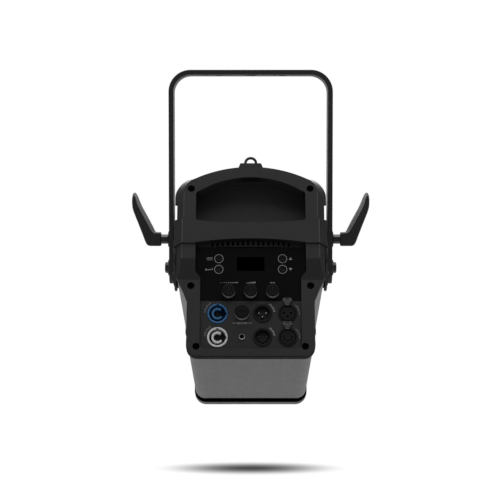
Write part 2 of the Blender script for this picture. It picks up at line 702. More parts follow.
for side, sign in SIDES:
    clamp_lever = "clamp_lever_" + side
    add("lever_handle_" + side, lever(sign), GRIP, clamp_lever, HANG, sharp=32,
        replaces=clamp_lever)
    # a hexagonal sleeve between the handle and the yoke
    sleeve = combine(
        flat([hexagon(0, CLAMP_R, 5.85), circle(0, CLAMP_R, 3.6, 32)], "X",
             sign * 103.2, sign * 112.4),
        ("keep", turned(SLEEVE, "X", CLAMP, way=sign)),
    )
    add("lever_sleeve_" + side, sleeve, DARK_METAL, clamp_lever, HANG,
        bevel=0.2)
    add("lever_screw_" + side, turned(LEVER_SCREW, "X", CLAMP, 32, way=sign), ZINC,
        clamp_lever, HANG)
    add("stud_turned_" + side, turned(STUD, "X", CLAMP, way=sign), ZINC,
        ROOT, HANG, replaces="clamp_stud_" + side)
    add("bolt_washer_" + side, turned(WASHER, "X", closed=True, way=sign), ZINC,
        ROOT, HANG)
    head = combine(
        flat([hexagon(0, 0, 6.9)], "X", sign * 102.85, sign * 106.9),
        ("keep", turned(BOLT_HEAD, "X", way=sign)),
        ("cut", flat([hexagon(0, 0, 2.6, 0)], "X", sign * 104.4, sign * 108.0)),
    )
    add("bolt_head_" + side, head, ZINC, ROOT, HANG, bevel=0.15,
        replaces="pivot_bolt_" + side)
    add("bolt_shank_" + side, turned(BOLT_SHANK, "X", steps=40, way=sign), ZINC,
        ROOT, HANG)

# ---- tilt plates ------------------------------------------------------------
SLOT_HALF = 4.6  # half the width of the arc slot
SCALE_R = 41.9  # inner ends of the tilt scale's marks
PLATE_FEET = ((0, -21), (23, -7), (-20, -13))  # y, z
PLATE_SCREW = [(0, 96.1), (1.3, 96.1), (2.4, 95.7), (2.9, 94.9), (2.9, 94.3), (0, 94.3)]


def fan(degrees, radius):
    """A point (y, z) round the tilt axis, counted from straight up to the rear."""
    angle = math.radians(degrees)
    return (-radius * math.sin(angle), radius * math.cos(angle))


def slot_end(degrees, way):
    turns = [math.radians(k) for k in range(15, 166, 15)]
    return [
        fan(degrees + way * 7 * math.sin(turn), CLAMP_R + way * SLOT_HALF * math.cos(turn))
        for turn in turns
    ]


fan_outline = [fan(a, 46) for a in range(-56, 103, 3)]
fan_outline += [fan(a, 29.5) for a in range(138, 271, 7)]
arc_slot = [fan(a, CLAMP_R + SLOT_HALF) for a in range(-45, 91, 3)] + slot_end(90, 1)
arc_slot += [fan(a, CLAMP_R - SLOT_HALF) for a in range(90, -46, -3)] + slot_end(-45, -1)
for side, sign in SIDES:
    feet = [
        ("join", rod(5.5, "X", sign * 87.8, sign * 92.5, (0, y, z), 32)) for y, z in PLATE_FEET
    ]
    plate = flat([fan_outline, arc_slot, circle(0, 0, 5.3, 36)], "X", sign * 91.9, sign * 94.5)
    add("fan_plate_" + side, combine(plate, *feet), PAINT, bevel=0.35,
        replaces="tilt_plate_" + side)
    heads = [turned(PLATE_SCREW, "X", (0, y, z), 28, way=sign) for y, z in PLATE_FEET]
    add("plate_screws_" + side, merged(heads), ZINC)
    ticks = []
    for k, degrees in enumerate(range(-45, 91, 15)):
        end_r = SCALE_R + (3.2 if k % 3 == 0 else 2.0)
        corners = ((-0.45, SCALE_R), (0.45, SCALE_R), (0.45, end_r), (-0.45, end_r))
        mark = [fan(degrees + turn, radius) for turn, radius in corners]
        ticks.append(flat([mark], "X", sign * 94.4, sign * 94.58))
    add("tilt_scale_" + side, merged(ticks), PRINT_DIM)

# ---- rear frame -------------------------------------------------------------
POCKET_R = 118.0
POCKET_Z = 87.6 - POCKET_R
# name, x, z, and the y of the face it sits in
FRAME_SCREWS = [
    ("top", 71.6, 73.0, REAR), ("middle", 71.0, -47.2, LOWER), ("bottom", 63.9, -121.0, LOWER),
]
# the band's section (x, y from the rear face) where it turns the corner
BAND_TURN = [(78.6, 0.0), (82.0, 0.0), (92.2, 10.1), (92.2, 13.5), (88.0, 13.5), (78.6, 3.5)]

pocket = crown(POCKET_Z, POCKET_R, 61.0, 20)
pocket += arc(60.0, 65.0, 5.8, 55, 0, 5) + arc(63.8, 35.4, 2.0, 0, -80, 4)
for k in range(10, -1, -1):
    x = 63.0 * k / 10.5
    pocket.append((x, 29.8 + 3.0 * (x / 64.0) ** 2))

window = [(65.8 * k / 12, 9.8 - 4.6 * (k / 12) ** 2) for k in range(13)]
window += arc(63.8, -28.6, 2.0, 0, -38, 3) + [(65.2, -30.6), (60.4, -36.4)]
window += arc(61.8, -38.0, 2.0, 142, 180, 3) + arc(52.8, -116.6, 7.0, 0, -90, 9)
window += [(0, -123.6)]


def band_corner(sign):
    """A prism that follows the band round a corner, a little deeper at the side."""
    low = [(sign * x, REAR + y, 4.6 - 0.22 * y) for x, y in BAND_TURN]
    return loft([low, [(x, y, 35.5) for x, y, z in low]])


# what is cut away behind the stepped rear face: y, z
face_step = [
    (REAR - 10, 3.9), (REAR - 1, 4.3), (REAR + 2.0, 4.7), (REAR + 2.0, -14.5),
    (LOWER, -40.0), (LOWER, -160), (REAR - 10, -160),
]
steps = [
    ("cut", flat([mirrored(shape)], "Y", REAR - 5, REAR + FRAME_D + 5))
    for shape in (pocket, window)
]
steps.append(("cut", flat([face_step], "X", -110, 110)))
for _, sign in SIDES:
    # the sides step in above and below the pocket's bar, whose band carries on round them
    inner, outer = sign * 88.7, sign * 100.0
    steps += [
        ("cut", block((inner, REAR - 5, -60), (outer, REAR + 30, 4.5))),
        ("cut", block((inner, REAR - 5, 35.5), (outer, REAR + 30, 56.5))),
        ("join", block((sign * 89.0, REAR + 12, 4.5), (sign * 91.3, REAR + 32, 35.5))),
        ("join", band_corner(sign)),
    ]
steps.append(("cut", block((-65.3, REAR + 12, 0.6), (65.3, REAR + 22, 34))))
for _, sign in SIDES:
    for _, x, z, y in FRAME_SCREWS:
        steps.append(("cut", rod(4.3, "Y", y - 8, y + 7, (sign * x, 0, z), 32)))
        steps.append(("cut", rod(2.2, "Y", y + 5, y + 20, (sign * x, 0, z), 20)))
frame_block = layered([
    (frame_ring(False), REAR), (frame_ring(True), REAR + 10.8), (frame_ring(True), REAR + FRAME_D),
])
add("rear_moulding", triangulated(combine(frame_block, *steps, dissolve=0)), MOULD,
    sharp=7, replaces="rear_frame")

# a sill under the lower edge, where the moulding laps over the housing
sill_ring = [(x * 1.004, z - 0.5) for x, z in frame_ring(False)]
sill = combine(
    flat([sill_ring, section(0.6)], "Y", REAR + 8.6, REAR + 22.0),
    ("cut", block((-120, REAR - 20, -112), (120, REAR + 60, 140))),
)
add("rear_sill", sill, SILL, bevel=0.3)

# rounded beads along the frame's corners: x, y from the rear face, z at both
# ends, then the radius
BEADS = [
    ((80.1, 0.42, 68.0), (80.1, 0.42, 36.0), 0.62),
    ((81.7, 0.40, 34.9), (81.7, 0.40, 5.2), 0.72),
    ((82.2, 0.9, 35.1), (91.6, 10.2, 35.1), 0.5),
    ((82.1, 2.42, 3.6), (82.1, 2.42, -13.9), 0.62),
]
beads = [
    wire([(sign * x, REAR + y, z) for x, y, z in ends], radius)
    for _, sign in SIDES for *ends, radius in BEADS
]
add("frame_edge_beads", merged(beads), EDGE)

# screws in their wells, with hexagon sockets
FRAME_SCREW = [
    (0, 15.5), (1.9, 15.5), (1.9, 6.6), (3.8, 6.6), (3.8, 4.4), (3.5, 3.5), (2.6, 3.0), (0, 3.0),
]
head = combine(
    turned(FRAME_SCREW, "Y", steps=36),
    ("cut", flat([hexagon(0, 0, 1.75, 0)], "Y", 1.0, 5.2)),
)
for side, sign in SIDES:
    for name, x, z, y in FRAME_SCREWS:
        node = "frame_screw_%s_%s" % (name, side)
        screw = head.copy()
        screw.transform(Matrix.Translation(Vector((sign * x, y + 1.2, z)) * MM))
        add("socket_" + node, screw, SCREW_BLACK, replaces=node)
bpy.data.meshes.remove(head)

# ---- hand pocket: a coved tub in front of the frame's opening ----------------
TUB_DEPTH, SCOOP, TUB_WALL = 25.2, 19.0, 1.5
rim = []
for k in range(25):
    x = 62.8 * k / 24
    rim.append((x, 1.6 + POCKET_Z + math.sqrt(POCKET_R**2 - (x / 1.03) ** 2)))
rim += arc(61.6, 66.0, 6.0, 60, 0, 6) + [(67.6, 60 - 4.0 * k) for k in range(1, 11)]
rim += arc(63.6, 18.2, 4.0, 0, -90, 6) + [(63.6 * (1 - k / 16), 14.2) for k in range(1, 17)]
rim = mirrored(rim)

# the cove from the tub's foot up to its full depth: y, z
cove = [(SHELL_START - 6, 16.0), (SHELL_START - 0.6, 16.0), (SHELL_START + 1.6, 26.0)]
for k in range(1, 17):
    depth = (SCOOP - 1.6) * math.sin(math.pi / 2 * (k / 16))
    cove.append((SHELL_START + 1.6 + depth, 26.0 + 50.0 * (k / 16)))
cove += [(SHELL_START + SCOOP, 110.0), (SHELL_START - 6, 110.0)]


def softened(mesh):
    """The same body with its edges rounded."""
    obj = loose("softened", mesh)
    edges = obj.modifiers.new("Edge", "BEVEL")
    edges.width = 3.0 * MM
    edges.segments = 5
    edges.limit_method = "ANGLE"
    edges.angle_limit = math.radians(50)
    return tidy(baked(obj))


hollow = softened(combine(
    flat([rim], "Y", SHELL_START - 6, SHELL_START + TUB_DEPTH + 1),
    ("keep", flat([cove], "X", -80, 80)),
))
wide = []
for x, z in rim:
    grow = 1 + TUB_WALL / math.hypot(x, z - 48.0)
    wide.append((x * grow, 48.0 + (z - 48.0) * grow))
tub = combine(flat([wide], "Y", SHELL_START, SHELL_START + TUB_DEPTH + 1.4), ("cut", hollow))
tub = add("pocket_tub", tub, TUB, sharp=24, replaces="hand_pocket")
tub.modifiers.new("Normals", "WEIGHTED_NORMAL").keep_sharp = True

# ---- vent grille ------------------------------------------------------------
VENT_PITCH, VENT_HALF, VENT_TOP = 6.1, 64.8, 13.6
vent_loops = [[(-VENT_HALF, VENT_TOP), (VENT_HALF, VENT_TOP)] + [
    (VENT_HALF - 2 * VENT_HALF * k / 24, 1.2 + 1.5 * (1 - (1 - k / 12.0) ** 2))
    for k in range(25)
]]
for k in range(-8, 8):
    x = (k + 0.5) * VENT_PITCH
    z = 2.6 + 1.6 * (1 - ((k + 0.5) / 8.0) ** 2)
    vent_loops.append(rounded(x - 1.2, z, x + 1.2, z + 7.8, 1.1, 5))
# the slanting cut over the rear face: y from the frame's rear, z
vent_slant = [(9, 20), (9, -2), (11.2, -2), (11.2, 1.6), (12.6, 13.8), (12.6, 20)]
grille = combine(
    flat(vent_loops, "Y", REAR + 11.2, REAR + 14.4),
    ("cut", flat([[(REAR + y, z) for y, z in vent_slant]], "X", -80, 80)),
)
add("vent_bars", grille, GRILLE, bevel=0.3, replaces="vent_grille")

# ---- control panel ----------------------------------------------------------
# centres: x, z
BUTTONS = {
    "menu": (-38.0, -12.9), "enter": (-38.0, -26.2), "up": (38.0, -12.9), "down": (38.0, -26.2),
}
KNOBS = {"left": (-26.0, -54.6), "middle": (0.0, -54.6), "right": (26.0, -54.6)}
SYMBOL_Z = -42.7  # the row above the knobs

panel_half = [(0, 0.9), (65.4, 0.9), (65.4, -30.2), (59.4, -37.2), (59.4, -65.0), (0, -65.0)]
panel_loops = [mirrored(panel_half)]
panel_loops += [circle(x, z, 4.4, 32) for x, z in BUTTONS.values()]
panel_loops += [circle(x, z, 3.5, 28) for x, z in KNOBS.values()]
panel_loops += [rounded(-16.4, -28.0, 16.4, -11.0, 1.0, 4)]
add("panel_overlay", flat(panel_loops, "Y", PANEL, PANEL + 2.0), OVERLAY, bevel=0.15,
    replaces="control_panel")

pane = combine(
    flat([rounded(-16.1, -27.7, 16.1, -11.3, 0.9, 4)], "Y", PANEL + 0.5, PANEL + 1.8),
    ("join", block((-15, PANEL + 1.2, -26.5), (15, PANEL + 3.5, -12.5))),
    ("join", block((-19, PANEL + 2.3, -31), (19, PANEL + 9, -8))),
)
add("display_glass", pane, SCREEN, bevel=0.12, replaces="display_window")


def printed(name, marks, material):
    """Thin raised print on a panel; a mark is an outline or a list of loops."""
    meshes = [
        flat(mark if isinstance(mark[0], list) else [mark], "Y", PANEL - 0.07, PANEL + 0.15)
        for mark in marks
    ]
    add(name, merged(meshes), material)


rings = [[circle(x, z, 5.45), circle(x, z, 4.72)] for x, z in BUTTONS.values()]
printed("button_rings", rings, PRINT)

x, z = BUTTONS["menu"]
marks = [
    strip(x - 15.2 + 0.9 * abs(rise), z + rise - 0.22, x - 7.4, z + rise + 0.22)
    for rise in (-1.5, 0.0, 1.5)
]
marks += [
    placed(*BUTTONS["enter"], [
        (-16.6, -0.35), (-14.6, -1.9), (-14.6, -0.75), (-7.9, -0.75), (-7.9, 1.7),
        (-7.2, 1.7), (-7.2, 0.05), (-7.2, 0.0), (-14.6, 0.0), (-14.6, 1.2),
    ]),
    placed(*BUTTONS["up"], [(7.4, -1.5), (11.6, -1.5), (9.5, 1.7)]),
    placed(*BUTTONS["down"], [(7.4, 1.5), (9.5, -1.7), (11.6, 1.5)]),
]
# above the knobs: a row of dots, a rising ramp and a pair of arrowheads
marks += [circle(-36.0 + k * 2.5, SYMBOL_Z, 0.35 + 0.06 * k, 12) for k in range(9)]
marks += [strip(-5.2 + 1.6 * k, -43.6, -4.1 + 1.6 * k, -43.0 + 0.28 * k) for k in range(7)]
marks += [
    [(22.6, SYMBOL_Z), (25.0, -43.7), (25.0, -41.7)],
    [(29.4, SYMBOL_Z), (27.0, -41.7), (27.0, -43.7)],
    circle(26.0, SYMBOL_Z, 0.45, 12),
]
printed("panel_symbols", marks, PRINT)

dots = [
    circle(*polar(x, z, 9.3, degrees), 0.22, 8)
    for x, z in KNOBS.values() for degrees in range(-40, 221, 26)
]
printed("knob_dots", dots, DOTS)

# turned profiles: radius, y from the panel
KEY = [
    (0, 5.0), (5.2, 5.0), (5.2, 4.0), (4.0, 4.0), (4.0, -0.8), (3.9, -1.2), (3.5, -1.5),
    (2.9, -1.45), (1.6, -1.2), (0, -1.15),
]
KNOB_WALL = [
    (0, 6.0), (3.1, 6.0), (3.1, -0.8), (7.5, -0.8), (7.6, -1.0), (7.6, -8.5), (7.3, -8.7),
    (0, -8.7),
]
KNOB_TOP = [(0, -8.6), (7.6, -8.6), (7.5, -9.1), (7.0, -9.5), (5.6, -9.7), (0, -9.7)]
KNOB_DISH = [(0, -9.25), (4.5, -9.25), (4.9, -9.5), (4.9, -12), (0, -12)]

for name, (x, z) in BUTTONS.items():
    button = "button_" + name
    add("key_" + name, turned(KEY, "Y", (x, 0, z), 40, start=PANEL), SOFT, button,
        replaces=button)

for name, (x, z) in KNOBS.items():
    knob = "knob_" + name
    add("knob_wall_" + name, turned(KNOB_WALL, "Y", (x, 0, z), 64, start=PANEL), SKIRT,
        knob, replaces=knob)
    top = combine(
        turned(KNOB_TOP, "Y", (x, 0, z), 64, start=PANEL),
        ("cut", turned(KNOB_DISH, "Y", (x, 0, z), start=PANEL)),
        ("cut", block((x - 0.4, PANEL - 12, z + 4.4), (x + 0.4, PANEL - 9.1, z + 8.0))),
    )
    add("knob_top_" + name, top, SOFT, knob, bevel=0.1, steps=1, angle=40)
    pointer = block((x - 0.35, PANEL - 9.45, z + 1.4), (x + 0.35, PANEL - 9.15, z + 4.2), 0.08)
    add("knob_pointer_" + name, pointer, dim_grey("pointer_grey_" + name), knob)

# ---- connector plate --------------------------------------------------------
ROWS = (-80.7, -109.5)
MAINS_X, FUSE_X, MALE_X, FEMALE_X = -39.1, -10.3, 13.9, 43.5
SMALL_RISE = 0.4  # the fuse and the jack sit this far above their rows
plate_half = [(0, -65.4), (59.4, -65.4)] + arc(52.4, -116.2, 7.0, 0, -90, 9) + [(0, -123.2)]
HOLES = [(MAINS_X, z, 12.6) for z in ROWS]
HOLES += [(FUSE_X, ROWS[0] + SMALL_RISE, 8.2), (FUSE_X, ROWS[1] + SMALL_RISE, 4.0)]
HOLES += [(x, z, 11.35) for z in ROWS for x in (MALE_X, FEMALE_X)]
plate_loops = [mirrored(plate_half)]
plate_loops += [circle(x, z, radius, 56 if radius > 5 else 28) for x, z, radius in HOLES]
add("plate_sheet", flat(plate_loops, "Y", PANEL, PANEL + 2.0), PLATE, bevel=0.25,
    replaces="connector_plate")


def ticks_on_arc(x, z, radius, start, end, count, length):
    """Short radial marks; every third one is longer."""
    half = math.degrees(0.85 / 2 / radius)
    marks = []
    for k in range(count):
        middle = start + (end - start) / count * (k + 0.5)
        end_r = radius + length * (1.0 if k % 3 else 1.5)
        marks.append(
            arc(x, z, radius, middle - half, middle + half, 2)
            + arc(x, z, end_r, middle + half, middle - half, 2)
        )
    return marks


bright, dim = [], []
for z in ROWS:
    dim += ticks_on_arc(MAINS_X, z, 14.2, 122, 176, 9, 1.5)
    bright += ticks_on_arc(MALE_X, z, 13.2, 8, 56, 8, 1.5)
    dim += ticks_on_arc(FEMALE_X, z, 13.1, -6, 50, 9, 1.4)
# a fuse symbol under the fuse cap: a bar through a box
z = ROWS[0] - 11.6
bright += [
    strip(-22.0, z - 0.28, -15.6, z + 0.28),
    strip(-5.2, z - 0.28, 1.6, z + 0.28),
    [strip(-15.6, z - 1.25, -5.2, z + 1.25), strip(-14.9, z - 0.7, -5.9, z + 0.7)],
    strip(-14.9, z - 0.2, -5.9, z + 0.2),
]
printed("plate_symbols", bright, PRINT)
printed("plate_symbols_dim", dim, PRINT_DIM)

# ---- mains sockets ----------------------------------------------------------
# turned profiles here and below: radius, y from FACE
MAINS_RING = [
    (12.2, 0.9), (12.0, 0.25), (11.5, -0.05), (10.6, -0.05), (10.1, 0.15), (9.7, 0.7),
    (9.7, 9.0), (12.2, 9.0),
]
MAINS_BACK = [(0, 24), (11.9, 24), (11.9, 8.6), (9.0, 8.6), (9.0, 10.2), (0, 10.2)]
MAINS_WEDGE = [(8.2, -3.2), (11.1, -1.6), (11.1, 0.6), (8.2, 2.4)]
CONTACTS = ((3.9, 0.2), (-3.6, 1.4), (-3.2, -1.9))
MAINS = (
    ("power_inlet", ROWS[0], BLUE, BLUE_DEEP, "blue_socket"),
    ("power_outlet", ROWS[1], GREY, GREY_DEEP, "grey_socket"),
)
x = MAINS_X
for name, z, material, deep, slot in MAINS:
    ring = combine(
        turned(MAINS_RING, "Y", (x, 0, z), 64, closed=True, start=FACE),
        ("cut", block((x - 1.3, FACE - 2, z + 8.8), (x + 1.3, FACE + 6, z + 11.2))),
        ("cut", flat([placed(x, z, MAINS_WEDGE)], "Y", FACE - 2, FACE + 6)),
    )
    add(name + "_ring", ring, material, bevel=0.15, angle=40, replaces=name)
    add(name + "_back", turned(MAINS_BACK, "Y", (x, 0, z), 56, start=FACE), deep)
    core = arc(x, z, 7.15, 50, 322, 40) + arc(x, z, 4.5, 322, 50, 34)
    add(name + "_core", flat([core], "Y", FACE + 0.9, FACE + 10.4), material,
        bevel=0.35, steps=3, angle=40)
    post = flat([arc(x, z, 3.1, 0, 330, 22)], "Y", FACE + 4.6, FACE + 10.4)
    add(name + "_post", post, SOFT, bevel=0.3)
    blades = [
        block((x + dx - 0.35, FACE + 6.4, z + dz - 1.3),
              (x + dx + 0.35, FACE + 10.4, z + dz + 1.3), 0.15)
        for dx, dz in CONTACTS
    ]
    add(name + "_contacts", merged(blades), BRASS)

# ---- fuse cap and jack ------------------------------------------------------
FUSE_COLLAR = [
    (0, 20), (5.0, 20), (5.0, 4.0), (7.9, 4.0), (8.1, 3.6), (8.1, 0.6), (8.6, 0.3),
    (8.6, -6.4), (8.4, -6.6), (0, -6.6),
]
FUSE_CAP = [(0, -7.6), (6.9, -7.6), (8.1, -7.3), (8.6, -6.9), (8.6, -6.4), (0, -6.4)]
FUSE_GROOVE = [(7.1, -9), (7.5, -9), (7.5, -7.1), (7.1, -7.1)]
JACK_BUSH = [(2.75, 11.0), (2.75, -0.6), (2.95, -0.95), (3.3, -1.0), (3.65, -0.6), (3.7, 11.0)]

x, z = FUSE_X, ROWS[0] + SMALL_RISE
add("fuse_collar", turned(FUSE_COLLAR, "Y", (x, 0, z), 56, start=FACE), SKIRT)
cap = combine(
    turned(FUSE_CAP, "Y", (x, 0, z), 56, start=FACE),
    ("cut", block((x - 4.6, FACE - 9, z - 0.65), (x + 4.6, FACE - 7.0, z + 0.65))),
    ("cut", turned(FUSE_GROOVE, "Y", (x, 0, z), 56, closed=True, start=FACE)),
)
add("fuse_cap_face", cap, SOFT, "fuse_cap", bevel=0.15, steps=1, angle=40,
    replaces="fuse_cap")

z = ROWS[1] + SMALL_RISE
add("jack_bush", turned(JACK_BUSH, "Y", (x, 0, z), 40, closed=True, start=FACE), JACK_NICKEL,
    replaces="service_jack")
add("jack_back", rod(3.6, "Y", FACE + 8.0, FACE + 16, (x, 0, z), 32), CREASE)

# ---- signal sockets ---------------------------------------------------------
MALE_CUP = [
    (0, 22), (11.4, 22), (11.4, 0.7), (11.1, 0.15), (10.6, -0.05), (9.2, -0.05), (8.7, 0.3),
    (8.5, 1.0), (8.5, 10.6), (0, 10.6),
]
FEMALE_FACE = [
    (0, 22), (11.4, 22), (11.4, 0.7), (11.1, 0.15), (10.6, -0.05), (9.7, -0.05), (9.3, 0.3),
    (9.2, 2.2), (8.7, 2.2), (8.65, 0.8), (8.3, 0.4), (0, 0.35),
]
THREE_PINS = [(-4.3, 0.6), (4.3, 0.6), (0, -3.7)]
FIVE_PINS = [polar(0, 0, 4.6, degrees) for degrees in (170, 215, 270, 325, 10)]


# row, pin places, pin radius, pin hole radius, pin metal
SIGNALS = (
    (ROWS[0], THREE_PINS, 1.2, 1.3, PIN),
    (ROWS[1], FIVE_PINS, 0.9, 0.95, NICKEL),
)
for z, places, pin_r, hole_r, pin_metal in SIGNALS:
    tag = "_%dpin" % len(places)
    x = MALE_X
    floor_disc = rod(8.35, "Y", FACE + 6.6, FACE + 8.0, (x, 0, z), 56)
    key = block((x - 1.2, FACE + 1.6, z + 7.4), (x + 1.2, FACE + 11, z + 9.0))
    male = combine(turned(MALE_CUP, "Y", (x, 0, z), 64, start=FACE), ("join", key))
    add("male_floor" + tag, floor_disc, WELL)
    add("male_cup" + tag, male, SOCKET, bevel=0.12, steps=1, angle=40,
        replaces="signal_input" + tag)
    pin = [
        (0, 1.6), (0.5 * pin_r, 1.75), (0.85 * pin_r, 2.2), (pin_r, 2.9), (pin_r, 12), (0, 12),
    ]
    pins = [turned(pin, "Y", (x + dx, 0, z + dz), 20, start=FACE) for dx, dz in places]
    add("male_pins" + tag, merged(pins), pin_metal)

    x = FEMALE_X
    cuts = [
        ("cut", rod(hole_r, "Y", FACE - 2, FACE + 11, (x - dx, 0, z + dz), 20))
        for dx, dz in places
    ]
    cuts.append(("cut", block((x - 3.5, FACE - 3, z + 8.7), (x + 3.5, FACE + 9, z + 12.6))))
    female = combine(turned(FEMALE_FACE, "Y", (x, 0, z), 64, start=FACE), *cuts)
    add("female_face" + tag, female, SOCKET, bevel=0.12, steps=1, angle=40,
        replaces="signal_output" + tag)
    release = "release_tab" + tag
    tab_z = z + 15.8
    skirt = [(39.6, tab_z - 2.0), (39.9, tab_z - 4.6), (46.3, tab_z - 4.6), (46.6, tab_z - 2.0)]
    tab = combine(
        flat([rounded(37.6, tab_z - 2.4, 48.6, tab_z + 2.2, 2.2, 8)], "Y",
             PANEL - 4.6, PANEL - 2.8),
        ("join", flat([skirt], "Y", PANEL - 3.9, PANEL - 2.7)),
        ("join", block((40.6, PANEL - 3.2, z + 9.2), (45.6, PANEL + 2.0, z + 11.4))),
    )
    add("tab_plate" + tag, tab, NICKEL, release, bevel=0.2, replaces=release)
    ridges = [
        block((ridge_x - 0.28, PANEL - 4.95, tab_z - 0.1),
              (ridge_x + 0.28, PANEL - 4.5, tab_z + 1.7), 0.1)
        for ridge_x in (41.2, 42.2, 43.2, 44.2, 45.2)
    ]
    add("tab_ridges" + tag, merged(ridges), SOCKET, release)

# ---- safety loop ------------------------------------------------------------
LOOP_Y, LOOP_R = REAR + 8.0, 6.4
LOOP_BOSS = [
    (0, 107.6), (2.5, 107.6), (2.85, 107.45), (3.0, 107.1), (3.0, 105.5), (2.85, 105.15),
    (2.5, 105.0), (0, 105.0),
]
foot = combine(
    flat([mirrored([(14.8, 101.2), (12.9, 106.1), (12.2, 106.8)])], "Y",
         LOOP_Y - 5.4, LOOP_Y + 5.4),
    *[("join", turned(LOOP_BOSS, "Z", (x, LOOP_Y, 0), 32)) for x in (LOOP_R, -LOOP_R)],
)
add("loop_foot", foot, MOULD, bevel=0.5, replaces="safety_loop")
path = [(LOOP_R, 104.5), (LOOP_R, 108.4)] + arc(0, 108.9, LOOP_R, 5, 175, 28)
path += [(-LOOP_R, 108.4), (-LOOP_R, 104.5)]
loop_wire = wire([(x, LOOP_Y, z) for x, z in path], 1.65, resolution=5)
add("loop_wire", loop_wire, ZINC)

# ---- housing: a ribbed extrusion --------------------------------------------
GROOVE_PITCH, GROOVE_DEPTH = 3.0, 0.22


def is_ribbed(x, z):
    """True along the underside and the flat parts of the sides."""
    low_side = abs(x) > 70 and -121 < z < -66
    high_side = abs(x) > 80 and -40 < z < 45
    return z < -120 or low_side or high_side


def ribbed(points):
    """Cuts small square grooves into an outline along its ribbed runs."""
    half = GROOVE_PITCH * 0.24
    groove = (
        (-half - 0.12, 0.0), (-half + 0.05, GROOVE_DEPTH),
        (half - 0.05, GROOVE_DEPTH), (half + 0.12, 0.0),
    )
    result = []
    for point, after in zip(points, points[1:] + points[:1]):
        start, end = Vector(point), Vector(after)
        result.append(tuple(start))
        run = end - start
        middle = (start + end) / 2
        if run.length < GROOVE_PITCH * 2.5 or not is_ribbed(*middle):
            continue
        along = run.normalized()
        inward = Vector((along.y, -along.x))
        if inward.dot(Vector((0, -15)) - middle) < 0:
            inward = -inward
        count = int((run.length - GROOVE_PITCH) / GROOVE_PITCH)
        margin = (run.length - count * GROOVE_PITCH) / 2
        for k in range(count):
            station = margin + (k + 0.5) * GROOVE_PITCH
            for offset, dip in groove:
                result.append(tuple(start + along * (station + offset) + inward * dip))
    return result


LOUVRE = [(0, -22.0), (4.2, -22.0), (12.2, 26.0), (8.0, 26.0)]  # y from its start, z
louvres = [
    ("cut", flat([placed(62 + k * 12.5, 0, LOUVRE)], "X", sign * 80.0, sign * 96.0))
    for _, sign in SIDES for k in range(7)
]
housing = flat([ribbed(section(0.9)), section(3.6)], "Y", SHELL_START, SHELL_END)
add("housing_shell", combine(housing, *louvres, dissolve=0.2), EXTRUSION,
    sharp=28, replaces="housing_extrusion")

# a black tray behind each row of louvres, turned out to the wall at both ends:
# x from, x to, y from, y to
BAFFLE = ((76.0, 77.2, 54.0, 154.0), (76.6, 85.2, 54.0, 55.2), (76.6, 85.2, 152.8, 154.0))
for side, sign in SIDES:
    tray, *ends = [
        block((sign * x0, y0, -31.0), (sign * x1, y1, 35.0)) for x0, x1, y0, y1 in BAFFLE
    ]
    add("louvre_baffle_" + side, combine(tray, *[("join", end) for end in ends]), NECK,
        sharp=30)

# ---- front cap: a recessed neck and a lip -----------------------------------
LIP_CORNER = 15.5
neck = combine(
    flat([section(3.6), section(7.6)], "Y", SHELL_END - 2.0, LIP_START + 0.5),
    ("join", flat([section(-0.8, LIP_CORNER), section(7.0)], "Y",
                  LIP_START - 0.5, LIP_START + 0.4)),
)
add("cap_neck", neck, NECK, sharp=30)
lip = combine(
    flat([section(-0.9, LIP_CORNER)], "Y", LIP_START + 0.4, CAP_END),
    ("cut", flat([section(3.0)], "Y", LIP_START + 3, CAP_END - 4.0)),
    ("cut", flat([section(7.7)], "Y", LIP_START - 5, LIP_START + 5)),
    ("cut", rod(50.0, "Y", CAP_END - 20, CAP_END + 20, OPT, 72)),
)
add("cap_lip", lip, CAP_PAINT, bevel=0.8, steps=3, angle=40,
    replaces="front_cap")
CAP_SCREW = [
    (0, 1.0), (1.4, 1.0), (1.4, 2.1), (2.8, 1.9), (3.6, 0.9), (3.6, -0.2), (0, -0.2),
]
cap_screws = [
    turned(CAP_SCREW, "Y", (sign * x, 0, z), 28, start=CAP_END)
    for _, sign in SIDES for x, z in ((66.0, 72.0), (66.0, -20.0), (60.0, -112.0))
]
add("cap_screws", merged(cap_screws), ZINC)

# ---- inside the housing -----------------------------------------------------
INSIDE = {
    "fan_frame": SOFT, "fan_rotor": SOFT, "heat_sink": ALU, "led_board": BOARD,
    "power_supply": ALU,
}
for name, material in INSIDE.items():
    materials = cad["nodes"][name].data.materials
    materials.clear()
    materials.append(material)

LED_Y = REAR + 45.0 + 28.0 + 50.3
chips = []
for radius, count in ((0, 1), (7, 6), (14, 12), (21, 18)):
    for k in range(count):
        x, z = polar(0, OPT_Z, radius, 360 * k / count)
        chips.append(block((x - 1.7, LED_Y + 2.9, z - 1.7), (x + 1.7, LED_Y + 3.9, z + 1.7), 0.2))
add("led_chips", merged(chips), PHOSPHOR)

condenser = [(34.0 * k / 14, 10.0 + 20.0 * math.sqrt(1 - (k / 14) ** 2)) for k in range(15)]
condenser += [(36, 10), (36, 7), (0, 7)]
add("condenser_glass", turned(condenser, "Y", OPT, 64, start=LED_Y), GLASS,
    sharp=50, replaces="condenser_lens")

# ---- gate ring and shutter barrel -------------------------------------------
GATE_RING = [
    (45.5, 200.3), (45.5, 210.3), (52.6, 210.3), (52.6, 208.3), (50.0, 207.7), (50.0, 203.3),
    (56.0, 203.3), (56.0, 200.3),
]
add("gate_ring_turned", turned(GATE_RING, "Y", OPT, 96, closed=True), PAINT,
    bevel=0.3, angle=40, replaces="gate_ring")

